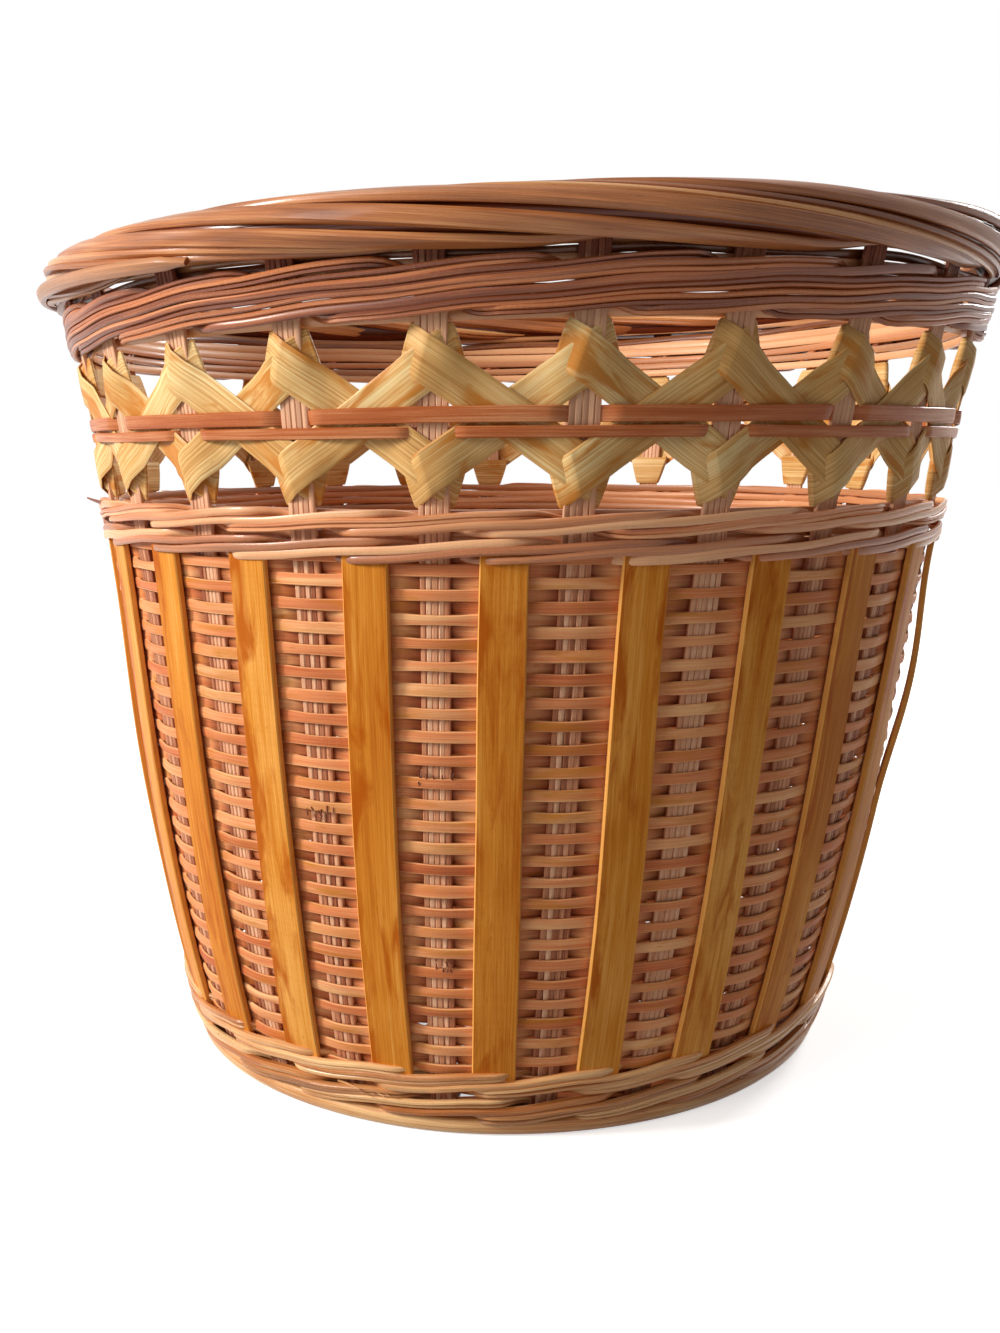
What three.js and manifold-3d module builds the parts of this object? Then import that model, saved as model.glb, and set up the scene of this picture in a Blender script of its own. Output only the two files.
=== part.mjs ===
// Woven bamboo planter: a rigid round basket of stakes, slats, weavers, ribbons and a rolled border.
// Millimetres, +Z up, origin at the centre of the face it stands on.

import * as THREE from 'three';
import { mergeVertices } from 'three/addons/utils/BufferGeometryUtils.js';
import Module from 'manifold-3d';

const wasm = await Module();
wasm.setup();

// Heights of the bands, from the foot up
const baseBandHeight = 21;
const slatPanelHeight = 137.5;
const lowerWaleHeight = 13;
const openBandHeight = 43;
const upperWaleHeight = 13.5;
const borderGap = 1;
const borderHeight = 14;

// Radii of the wall line, the outer face of the stakes, at four heights
const footRadius = 101.6;
const bellyRadius = 120.3;
const shoulderRadius = 130.1;
const brimRadius = 141;

// The border's section
const borderOverhang = 8;
const borderDepth = 15;
const borderSides = 8;

// Stakes
const stakeCount = 24;
const stakePhase = THREE.MathUtils.degToRad(5.8);
const stakeWidth = 7.5;
const stakeDepth = 1.5;
const stakeTipDepth = 3;

// Slats
const slatWidth = 11.8;
const slatThickness = 1.8;
const slatTuckTop = 3;
const slatTuckBottom = 5;

// Woven wall, floor and strands
const weaveRecess = 0.4;
const weaveInnerDepth = 2.3;
const footRingHeight = 4.7;
const footRingDepth = 10;
const spokeWidth = 5;
const spokeThickness = 2;
const matThickness = 3;
const waleProud = 3.3;
const waleInnerDepth = 3.6;
const strandGroove = 0.5;
const baseRows = 4;
const lowerRows = 4;
const upperRows = 4;
const footTuckIn = 1.2;

// Zigzag ribbons and middle weavers
const ribbonWidth = 10.2;
const ribbonThickness = 0.6;
const weaverThickness = 0.8;
const upperWeaverHeight = 4.3;
const lowerWeaverHeight = 3.7;

const clearance = 0.3;
const ringSegments = 2 * stakeCount;
const panelLevels = 5;

// Levels that follow from the heights
const baseTop = baseBandHeight;
const lowerWaleBottom = baseTop + slatPanelHeight;
const lowerWaleTop = lowerWaleBottom + lowerWaleHeight;
const upperWaleBottom = lowerWaleTop + openBandHeight;
const upperWaleTop = upperWaleBottom + upperWaleHeight;
const borderBottom = upperWaleTop + borderGap;
const borderTop = borderBottom + borderHeight;
const openBandMiddle = (lowerWaleTop + upperWaleBottom) / 2;
const panelBottom = baseTop - slatTuckBottom;
const panelTop = lowerWaleBottom + slatTuckTop;
const stakeTip = borderBottom + stakeTipDepth;
const stakeBottom = footRingHeight + clearance;
const matBottom = stakeBottom + spokeThickness + clearance;

const bayAngle = (2 * Math.PI) / stakeCount;
const pastStake = stakeWidth / 2 + clearance;
const pastSlat = slatWidth / 2 + clearance;

// A many-sided ring dips towards a flat strip at the strip's edges, so its clearance is that much more.
const facetSlope = Math.tan(Math.PI / ringSegments);
const slatInnerFace = clearance - weaveRecess;
const ringOverStakes = clearance + facetSlope * pastStake;
const ringOverSlats = slatInnerFace + slatThickness + clearance + facetSlope * pastSlat;

const bamboo = {
  border: { color: 0xa06a3c, roughness: 0.45, metalness: 0 },
  wale: { color: 0xa9673f, roughness: 0.55, metalness: 0 },
  ribbon: { color: 0xd9bd84, roughness: 0.5, metalness: 0 },
  weaver: { color: 0xb8743c, roughness: 0.5, metalness: 0 },
  slat: { color: 0xc28338, roughness: 0.4, metalness: 0 },
  stake: { color: 0xbd8a5c, roughness: 0.6, metalness: 0 },
  body: { color: 0xb87a50, roughness: 0.6, metalness: 0 },
  base: { color: 0xb98552, roughness: 0.5, metalness: 0 },
};

// The wall line: a cubic through the foot, the belly, the lower wale and the brim.
const wallLine = [
  { z: 0, radius: footRadius },
  { z: (baseTop + lowerWaleBottom) / 2, radius: bellyRadius },
  { z: (lowerWaleBottom + lowerWaleTop) / 2, radius: shoulderRadius },
  { z: borderBottom, radius: brimRadius },
];

function wallRadius(z) {
  let radius = 0;
  for (const point of wallLine) {
    let weight = 1;
    for (const other of wallLine) {
      if (other !== point) weight *= (z - other.z) / (point.z - other.z);
    }
    radius += weight * point.radius;
  }
  return radius;
}

// A point at a height on the wall, some way across the face at an angle and proud of the wall line
function wallPoint(angle, across, proud, z) {
  const radius = wallRadius(z) + proud;
  const x = radius * Math.cos(angle) - across * Math.sin(angle);
  const y = radius * Math.sin(angle) + across * Math.cos(angle);
  return new THREE.Vector3(x, y, z);
}

const stakeAngles = Array.from({ length: stakeCount }, (_, i) => stakePhase + i * bayAngle);
const slatAngles = stakeAngles.map((angle) => angle + bayAngle / 2);

function evenSteps(from, to, count) {
  return Array.from({ length: count }, (_, i) => from + ((to - from) * i) / (count - 1));
}

// Solids from points and from joins and cuts

function solidFromTriangles(points, triangles) {
  let sixVolumes = 0;
  for (const [a, b, c] of triangles) {
    sixVolumes += points[a].dot(new THREE.Vector3().crossVectors(points[b], points[c]));
  }
  const outward = sixVolumes > 0 ? triangles : triangles.map(([a, b, c]) => [a, c, b]);
  const geometry = new THREE.BufferGeometry();
  geometry.setFromPoints(points);
  geometry.setIndex(outward.flat());
  geometry.computeVertexNormals();
  return geometry;
}

// A closed loop of equal sections, each one a list of points
function loopSolid(sections) {
  const sides = sections[0].length;
  const triangles = [];
  sections.forEach((_, i) => {
    const here = i * sides;
    const next = ((i + 1) % sections.length) * sides;
    for (let k = 0; k < sides; k += 1) {
      const k1 = (k + 1) % sides;
      triangles.push([here + k, next + k, next + k1], [here + k, next + k1, here + k1]);
    }
  });
  return solidFromTriangles(sections.flat(), triangles);
}

// A sleeve between an outer and an inner outline, repeated at each level
function sleeveSolid(levels, outlineAt) {
  const points = [];
  const triangles = [];
  const outlines = levels.map(outlineAt);
  const outerCount = outlines[0].outer.length;
  const innerCount = outlines[0].inner.length;
  const levelCount = outerCount + innerCount;
  for (const { outer, inner } of outlines) points.push(...outer, ...inner);

  const wall = (start, count, base, turned) => {
    for (let k = 0; k < count; k += 1) {
      const a = base + start + k;
      const b = base + start + ((k + 1) % count);
      const quad = [[a, b, b + levelCount], [a, b + levelCount, a + levelCount]];
      triangles.push(...(turned ? quad.map(([p, q, r]) => [p, r, q]) : quad));
    }
  };
  for (let level = 0; level + 1 < levels.length; level += 1) {
    wall(0, outerCount, level * levelCount, false);
    wall(outerCount, innerCount, level * levelCount, true);
  }

  const flat = (list) => list.map((p) => new THREE.Vector2(p.x, p.y));
  const cap = THREE.ShapeUtils.triangulateShape(flat(outlines[0].outer), [flat(outlines[0].inner)]);
  const top = (levels.length - 1) * levelCount;
  for (const [a, b, c] of cap) {
    triangles.push([a, c, b], [top + a, top + b, top + c]);
  }
  return solidFromTriangles(points, triangles);
}

function toManifold(geometry) {
  const bare = geometry.clone();
  bare.deleteAttribute('normal');
  bare.deleteAttribute('uv');
  const merged = mergeVertices(bare, 1e-4);
  const vertProperties = Float32Array.from(merged.attributes.position.array);
  const triVerts = Uint32Array.from(merged.index.array);
  return new wasm.Manifold(new wasm.Mesh({ numProp: 3, vertProperties, triVerts }));
}

function fromManifold(solid) {
  const mesh = solid.getMesh();
  const geometry = new THREE.BufferGeometry();
  geometry.setAttribute('position', new THREE.BufferAttribute(mesh.vertProperties, 3));
  geometry.setIndex(new THREE.BufferAttribute(mesh.triVerts, 1));
  geometry.computeVertexNormals();
  return geometry;
}

// A ring with the same cutter taken out of it at each of a list of angles
function cutAllRound(geometry, cutter, angles) {
  let solid = toManifold(geometry);
  for (const angle of angles) {
    solid = solid.subtract(toManifold(cutter.clone().rotateZ(angle)));
  }
  return fromManifold(solid);
}

const panelHeights = evenSteps(panelBottom, panelTop, panelLevels);

// An upright strip whose two faces lie at set depths from the wall line
function wallStrip(heights, outerFace, innerFace, width) {
  const outline = new THREE.Shape();
  heights.forEach((z, i) => {
    if (i === 0) outline.moveTo(wallRadius(z) + outerFace, z);
    else outline.lineTo(wallRadius(z) + outerFace, z);
  });
  for (const z of [...heights].reverse()) outline.lineTo(wallRadius(z) + innerFace, z);
  outline.closePath();
  const geometry = new THREE.ExtrudeGeometry(outline, { depth: width, steps: 1, bevelEnabled: false });
  geometry.translate(0, 0, -width / 2);
  geometry.rotateX(Math.PI / 2);
  return geometry;
}

// Stakes: from the foot ring, up the wall and into the border
function stakeSolid(grow) {
  const openBand = [lowerWaleTop, openBandMiddle, upperWaleBottom];
  const heights = [stakeBottom, ...panelHeights, ...openBand, stakeTip + grow];
  return wallStrip(heights, grow, -stakeDepth - grow, stakeWidth + 2 * grow);
}

// Slats: over the weave, both ends tucked under a band of strands
function slatSolid() {
  return wallStrip(panelHeights, slatInnerFace + slatThickness, slatInnerFace, slatWidth);
}

// The woven wall: a sleeve with a groove for each stake and a flat for each slat
function bodyWeaveSolid() {
  const grooveFloor = -stakeDepth - clearance;
  return sleeveSolid(panelHeights, (z) => {
    const outer = [];
    const inner = [];
    stakeAngles.forEach((angle, i) => {
      outer.push(wallPoint(angle, -pastStake, -weaveRecess, z));
      outer.push(wallPoint(angle, -pastStake, grooveFloor, z));
      outer.push(wallPoint(angle, pastStake, grooveFloor, z));
      outer.push(wallPoint(angle, pastStake, -weaveRecess, z));
      outer.push(wallPoint(slatAngles[i], -pastSlat, -weaveRecess, z));
      outer.push(wallPoint(slatAngles[i], pastSlat, -weaveRecess, z));
      inner.push(wallPoint(angle, 0, -weaveInnerDepth, z));
      inner.push(wallPoint(slatAngles[i], 0, -weaveInnerDepth, z));
    });
    return { outer, inner };
  });
}

// The outside of a band of strands: a crest for each row and a groove between rows
function strandRows(bottom, top, rows, proud) {
  const row = (top - bottom) / rows;
  const points = [];
  for (let i = 0; i < rows; i += 1) {
    const crest = bottom + row * (i + 0.5);
    points.push(new THREE.Vector2(wallRadius(crest) + proud, crest));
    if (i < rows - 1) {
      const groove = bottom + row * (i + 1);
      points.push(new THREE.Vector2(wallRadius(groove) + proud - strandGroove, groove));
    }
  }
  return points;
}

function ringSolid(profile) {
  const geometry = new THREE.LatheGeometry([...profile, profile[0]], ringSegments);
  geometry.rotateX(Math.PI / 2);
  geometry.rotateZ(stakePhase);
  return geometry;
}

// The upper wale: strands on both sides of the stakes
function upperWaleSolid() {
  const edge = waleProud - strandGroove / 2;
  return ringSolid([
    new THREE.Vector2(wallRadius(upperWaleBottom) - waleInnerDepth, upperWaleBottom),
    new THREE.Vector2(wallRadius(upperWaleBottom) + edge, upperWaleBottom),
    ...strandRows(upperWaleBottom, upperWaleTop, upperRows, waleProud),
    new THREE.Vector2(wallRadius(upperWaleTop) + edge, upperWaleTop),
    new THREE.Vector2(wallRadius(upperWaleTop) - waleInnerDepth, upperWaleTop),
  ]);
}

// The lower wale: the same, with a rebate in its underside over the slats and the weave
function lowerWaleSolid() {
  const edge = waleProud - strandGroove / 2;
  const rebate = panelTop + clearance;
  return ringSolid([
    new THREE.Vector2(wallRadius(lowerWaleBottom) + ringOverSlats, lowerWaleBottom),
    new THREE.Vector2(wallRadius(lowerWaleBottom) + edge, lowerWaleBottom),
    ...strandRows(lowerWaleBottom, lowerWaleTop, lowerRows, waleProud),
    new THREE.Vector2(wallRadius(lowerWaleTop) + edge, lowerWaleTop),
    new THREE.Vector2(wallRadius(lowerWaleTop) - waleInnerDepth, lowerWaleTop),
    new THREE.Vector2(wallRadius(rebate) - waleInnerDepth, rebate),
    new THREE.Vector2(wallRadius(rebate) + ringOverSlats, rebate),
  ]);
}

// The base band: strands round the foot of the wall, rebated over the lower ends of the slats
function baseBandSolid() {
  const edge = waleProud - strandGroove / 2;
  const step = panelBottom - clearance;
  return ringSolid([
    new THREE.Vector2(wallRadius(0) + ringOverStakes, 0),
    new THREE.Vector2(wallRadius(0) + waleProud - footTuckIn, 0),
    ...strandRows(0, baseTop, baseRows, waleProud),
    new THREE.Vector2(wallRadius(baseTop) + edge, baseTop),
    new THREE.Vector2(wallRadius(baseTop) + ringOverSlats, baseTop),
    new THREE.Vector2(wallRadius(step) + ringOverSlats, step),
    new THREE.Vector2(wallRadius(step) + ringOverStakes, step),
    new THREE.Vector2(wallRadius(footRingHeight) + ringOverStakes, footRingHeight),
  ]);
}

// The foot ring: a flat hoop inside the base band, which the stakes stand on
function footRingSolid() {
  return ringSolid([
    new THREE.Vector2(wallRadius(0) - footRingDepth, 0),
    new THREE.Vector2(wallRadius(0), 0),
    new THREE.Vector2(wallRadius(footRingHeight), footRingHeight),
    new THREE.Vector2(wallRadius(0) - footRingDepth, footRingHeight),
  ]);
}

// The border: a rounded roll of strands, flat underneath where the stakes' tips go in
function borderSolid() {
  const centre = wallRadius(borderBottom) + borderOverhang - borderDepth / 2;
  const middle = (borderBottom + borderTop) / 2;
  const corner = 1 / Math.cos(Math.PI / borderSides);
  const profile = [];
  for (let i = 0; i < borderSides; i += 1) {
    const turn = ((i + 0.5) / borderSides) * 2 * Math.PI;
    const r = centre + (borderDepth / 2) * corner * Math.cos(turn);
    const z = middle + (borderHeight / 2) * corner * Math.sin(turn);
    profile.push(new THREE.Vector2(r, z));
  }
  return ringSolid(profile);
}

// The spokes: flat sticks crossing at the centre, their ends on the foot ring
function baseSpokesSolid() {
  const reach = wallRadius(stakeBottom) - stakeDepth - clearance;
  const half = spokeWidth / 2;
  const valley = half / Math.sin(bayAngle / 2);
  const star = new THREE.Shape();
  stakeAngles.forEach((angle, i) => {
    const cos = Math.cos(angle);
    const sin = Math.sin(angle);
    const start = new THREE.Vector2(reach * cos + half * sin, reach * sin - half * cos);
    if (i === 0) star.moveTo(start.x, start.y);
    else star.lineTo(start.x, start.y);
    star.lineTo(reach * cos - half * sin, reach * sin + half * cos);
    star.lineTo(valley * Math.cos(slatAngles[i]), valley * Math.sin(slatAngles[i]));
  });
  star.closePath();
  const geometry = new THREE.ExtrudeGeometry(star, { depth: spokeThickness, steps: 1, bevelEnabled: false });
  geometry.translate(0, 0, stakeBottom);
  return geometry;
}

// The floor: a round mat on the spokes, inside the stakes
function baseMatSolid() {
  const radius = wallRadius(matBottom) - stakeDepth - 2 * clearance;
  const geometry = new THREE.CylinderGeometry(radius, radius, matThickness, ringSegments);
  geometry.rotateX(Math.PI / 2);
  geometry.rotateZ(stakePhase);
  geometry.translate(0, 0, matBottom + matThickness / 2);
  return geometry;
}

// Zigzag ribbons. Each rises and falls a bay at a time, over the stakes and crossing the other in mid bay.
const bayPitch = wallRadius(openBandMiddle) * bayAngle;
const ribbonTop = upperWaleBottom - clearance;
const ribbonBottom = lowerWaleTop + clearance;

// The slope at which a ribbon of this width just fills the open band, its corners cut flat over a stake
function ribbonSlope() {
  const run = bayPitch - 2 * pastStake;
  const rise = ribbonTop - ribbonBottom;
  const diagonal = Math.sqrt(run ** 2 + rise ** 2 - ribbonWidth ** 2);
  return (run * rise - ribbonWidth * diagonal) / (run ** 2 - ribbonWidth ** 2);
}

const slope = ribbonSlope();
const ribbonDrop = (ribbonWidth * Math.hypot(1, slope)) / 2;
const apexRise = (bayPitch * slope) / 2;
const weaverReach = upperWeaverHeight + clearance;
const crossingHalf = (weaverReach + ribbonDrop) / slope;

function ribbonSection(angle, across, fromStake, proud, rising) {
  const sign = rising ? 1 : -1;
  const centre = openBandMiddle + sign * (fromStake * slope - apexRise);
  const low = Math.max(centre - ribbonDrop, ribbonBottom);
  const high = Math.min(centre + ribbonDrop, ribbonTop);
  return [
    wallPoint(angle, across, proud, low),
    wallPoint(angle, across, proud + ribbonThickness, low),
    wallPoint(angle, across, proud + ribbonThickness, high),
    wallPoint(angle, across, proud, high),
  ];
}

function ribbonSolid(startsLow) {
  const outerLayer = -ribbonThickness;
  const innerLayer = -2 * ribbonThickness - clearance;
  const sections = [];
  stakeAngles.forEach((angle, i) => {
    const rising = (i % 2 === 0) === startsLow;
    const middle = slatAngles[i];
    const layer = rising ? innerLayer : outerLayer;
    sections.push(ribbonSection(angle, -pastStake, pastStake, clearance, rising));
    sections.push(ribbonSection(angle, 0, 0, clearance, rising));
    sections.push(ribbonSection(angle, pastStake, pastStake, clearance, rising));
    sections.push(ribbonSection(middle, -crossingHalf, bayPitch / 2 - crossingHalf, layer, rising));
    sections.push(ribbonSection(middle, crossingHalf, bayPitch / 2 + crossingHalf, layer, rising));
  });
  return loopSolid(sections);
}

// Middle weavers: over the ribbons in mid bay, in front of every other stake and behind the rest
function weaverSection(angle, across, proud, bottom, height) {
  return [
    wallPoint(angle, across, proud, bottom),
    wallPoint(angle, across, proud + weaverThickness, bottom),
    wallPoint(angle, across, proud + weaverThickness, bottom + height),
    wallPoint(angle, across, proud, bottom + height),
  ];
}

function weaverSolid(bottom, height, startsInFront) {
  const front = clearance;
  const behind = -stakeDepth - clearance - weaverThickness;
  const reach = crossingHalf + clearance;
  const sections = [];
  stakeAngles.forEach((angle, i) => {
    const proud = (i % 2 === 0) === startsInFront ? front : behind;
    sections.push(weaverSection(angle, -pastStake, proud, bottom, height));
    sections.push(weaverSection(angle, pastStake, proud, bottom, height));
    sections.push(weaverSection(slatAngles[i], -reach, front, bottom, height));
    sections.push(weaverSection(slatAngles[i], reach, front, bottom, height));
  });
  return loopSolid(sections);
}

// The planter
const planter = new THREE.Group();

function add(name, geometry, finish, angle = 0) {
  const mesh = new THREE.Mesh(geometry, new THREE.MeshStandardMaterial(finish));
  mesh.name = name;
  mesh.rotation.z = angle;
  planter.add(mesh);
}

const stake = stakeSolid(0);
const slat = slatSolid();
const stakeHole = stakeSolid(clearance);
const lowerWeaverBottom = openBandMiddle - clearance / 2 - lowerWeaverHeight;
const upperWeaverBottom = openBandMiddle + clearance / 2;

for (let i = 0; i < stakeCount; i += 1) {
  const number = String(i + 1).padStart(2, '0');
  add(`stake_${number}`, stake, bamboo.stake, stakeAngles[i]);
  add(`slat_${number}`, slat, bamboo.slat, slatAngles[i]);
}
add('body_weave', bodyWeaveSolid(), bamboo.body);
add('base_spokes', baseSpokesSolid(), bamboo.base);
add('base_mat', baseMatSolid(), bamboo.base);
add('base_band', baseBandSolid(), bamboo.base);
add('foot_ring', footRingSolid(), bamboo.base);
add('lower_wale', cutAllRound(lowerWaleSolid(), stakeHole, stakeAngles), bamboo.wale);
add('ribbon_first', ribbonSolid(true), bamboo.ribbon);
add('ribbon_second', ribbonSolid(false), bamboo.ribbon);
add('middle_weaver_lower', weaverSolid(lowerWeaverBottom, lowerWeaverHeight, true), bamboo.weaver);
add('middle_weaver_upper', weaverSolid(upperWeaverBottom, upperWeaverHeight, false), bamboo.weaver);
add('upper_wale', cutAllRound(upperWaleSolid(), stakeHole, stakeAngles), bamboo.wale);
add('border', cutAllRound(borderSolid(), stakeHole, stakeAngles), bamboo.border);

export default planter;
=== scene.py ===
# Woven bamboo planter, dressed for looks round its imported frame. Metres, +Z up.
import math

import bpy
import numpy as np
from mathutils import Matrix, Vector


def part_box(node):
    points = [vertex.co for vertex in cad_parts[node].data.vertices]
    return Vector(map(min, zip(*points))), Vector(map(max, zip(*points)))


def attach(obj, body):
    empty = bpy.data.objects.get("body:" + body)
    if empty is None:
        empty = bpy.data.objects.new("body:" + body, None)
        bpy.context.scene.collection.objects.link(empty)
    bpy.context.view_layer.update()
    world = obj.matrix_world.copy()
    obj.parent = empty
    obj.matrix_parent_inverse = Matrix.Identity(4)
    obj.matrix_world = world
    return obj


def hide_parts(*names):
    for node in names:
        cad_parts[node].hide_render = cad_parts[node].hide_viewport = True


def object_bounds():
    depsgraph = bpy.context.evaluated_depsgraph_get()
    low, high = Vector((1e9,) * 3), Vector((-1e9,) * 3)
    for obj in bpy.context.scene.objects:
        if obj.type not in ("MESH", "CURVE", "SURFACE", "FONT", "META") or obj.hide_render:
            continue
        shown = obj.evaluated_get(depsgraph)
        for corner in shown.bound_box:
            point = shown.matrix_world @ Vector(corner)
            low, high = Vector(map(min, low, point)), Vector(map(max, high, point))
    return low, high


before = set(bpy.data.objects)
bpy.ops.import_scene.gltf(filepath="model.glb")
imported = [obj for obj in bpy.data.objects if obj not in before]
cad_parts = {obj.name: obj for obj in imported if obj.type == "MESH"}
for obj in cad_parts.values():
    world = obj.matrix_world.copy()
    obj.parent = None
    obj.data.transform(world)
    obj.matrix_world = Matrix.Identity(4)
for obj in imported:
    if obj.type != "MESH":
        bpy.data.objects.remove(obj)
cad_low, cad_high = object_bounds()
rng = np.random.default_rng(24)
MM = 0.001
UP = np.array([0.0, 0.0, 1.0])


# What the frame says

def points_of(node):
    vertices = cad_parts[node].data.vertices
    flat = np.empty(3 * len(vertices))
    vertices.foreach_get("co", flat)
    return flat.reshape(-1, 3)


def nodes_named(prefix):
    return sorted(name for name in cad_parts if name.startswith(prefix))


def angle_of(node):
    x, y, _ = points_of(node).mean(0)
    return math.atan2(y, x)


def upright(node):
    """An upright piece's points: out from the axis, across its face and up."""
    angle = angle_of(node)
    x, y, z = points_of(node).T
    out = x * math.cos(angle) + y * math.sin(angle)
    across = y * math.cos(angle) - x * math.sin(angle)
    return out, across, z


def strip_size(node):
    """An upright strip's width, depth, lowest and highest point."""
    out, across, z = upright(node)
    foot = out[z < z.min() + 0.1 * MM]
    return np.ptp(across), np.ptp(foot), z.min(), z.max()


STAKES = nodes_named("stake_")
SLATS = nodes_named("slat_")
BAYS = len(STAKES)
BAY = 2 * math.pi / BAYS
FIRST_STAKE = angle_of(STAKES[0])


def wall_line():
    """The wall's radius as a cubic of height: the outer face of the stakes."""
    out, _, z = upright(STAKES[0])
    heights = np.unique(np.round(z, 5))
    faces = [out[np.abs(z - height) < 0.02 * MM].max() for height in heights]
    return np.polyfit(heights, faces, 3)


WALL = wall_line()
STAKE_WIDTH, STAKE_DEPTH, STAKE_FOOT, STAKE_TIP = strip_size(STAKES[0])
SLAT_WIDTH, SLAT_DEPTH, SLAT_FOOT, SLAT_TOP = strip_size(SLATS[0])


def levels(node):
    low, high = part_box(node)
    return low.z, high.z


def wall(z):
    return np.polyval(WALL, z)


def on_wall(angle, proud, z):
    """Points on the wall at an angle, so far proud of the stakes' outer face."""
    return polar(wall(z) + proud, angle, z)


def wall_outward(angle, z):
    """The way out of the wall, square to its slope."""
    angle, z = np.broadcast_arrays(angle, z)
    slope = np.polyval(np.polyder(WALL), z)
    out = np.stack([np.cos(angle), np.sin(angle), -slope], -1)
    return out / np.linalg.norm(out, axis=-1, keepdims=True)


def smooth(low, high, value):
    t = np.clip((value - low) / (high - low), 0, 1)
    return t * t * (3 - 2 * t)


def wander(turn, size, waves):
    """A smooth random drift of about the given size, for turn from 0 to 1.

    Its ends meet where all the waves are whole numbers.
    """
    total = np.zeros_like(turn)
    for wave in waves:
        total += rng.normal() * np.sin(2 * math.pi * (wave * turn + rng.uniform()))
    return size * total / math.sqrt(len(waves))


def ring(per_bay):
    """Stations round the ring: counted in bays, as a share of the whole turn and as angles."""
    bays = np.arange(BAYS * per_bay) / per_bay
    return bays, bays / BAYS, FIRST_STAKE + bays * BAY


def polar(radius, angle, z):
    """Points at a distance from the axis, in a direction and at a height."""
    radius, angle, z = np.broadcast_arrays(radius, angle, z)
    return np.stack([radius * np.cos(angle), radius * np.sin(angle), z], -1)


# The lean and the tilted rim that all the pieces share

LEAN = 0.0268
LEAN_HEIGHT = 120 * MM
RIM_TILT = 0.028
TILT_FROM = 165 * MM


def settle(points):
    """The basket leans a little to its right, and its rim is higher on that side."""
    moved = points.copy()
    moved[:, 0] += LEAN * (points[:, 2] - LEAN_HEIGHT)
    moved[:, 2] += RIM_TILT * points[:, 0] * smooth(TILT_FROM, cad_high.z, points[:, 2])
    return moved


# Strands

def splint(width, depth, edge, crown=0.0, steps=2):
    """The section of a flat strip, with rounded edges and a crowned outer face."""
    half = width / 2
    thick = depth / 2
    outline = [(-half + edge, -thick), (half - edge, -thick)]
    outline += [(half, -thick + edge), (half, thick - edge)]
    for x in np.linspace(half - edge, edge - half, steps + 1):
        outline.append((x, thick + crown * (1 - (x / half) ** 2)))
    outline.append((-half, thick - edge))
    outline.append((-half, -thick + edge))
    return np.array(outline)


def oval(width, depth, sides=8, square=0.75):
    """The section of a rounded rod: an ellipse where square is 1, and squarer below that."""
    turn = (np.arange(sides) + 0.5) * 2 * math.pi / sides
    x = np.sign(np.cos(turn)) * np.abs(np.cos(turn)) ** square
    y = np.sign(np.sin(turn)) * np.abs(np.sin(turn)) ** square
    return np.stack([x * width / 2, y * depth / 2], -1)


def unit(vectors):
    return vectors / np.linalg.norm(vectors, axis=-1, keepdims=True)


# How far behind the middle a weaver's face lies before painted shade begins on it
PAINTED_SHADE_FROM = 0.15


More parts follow.
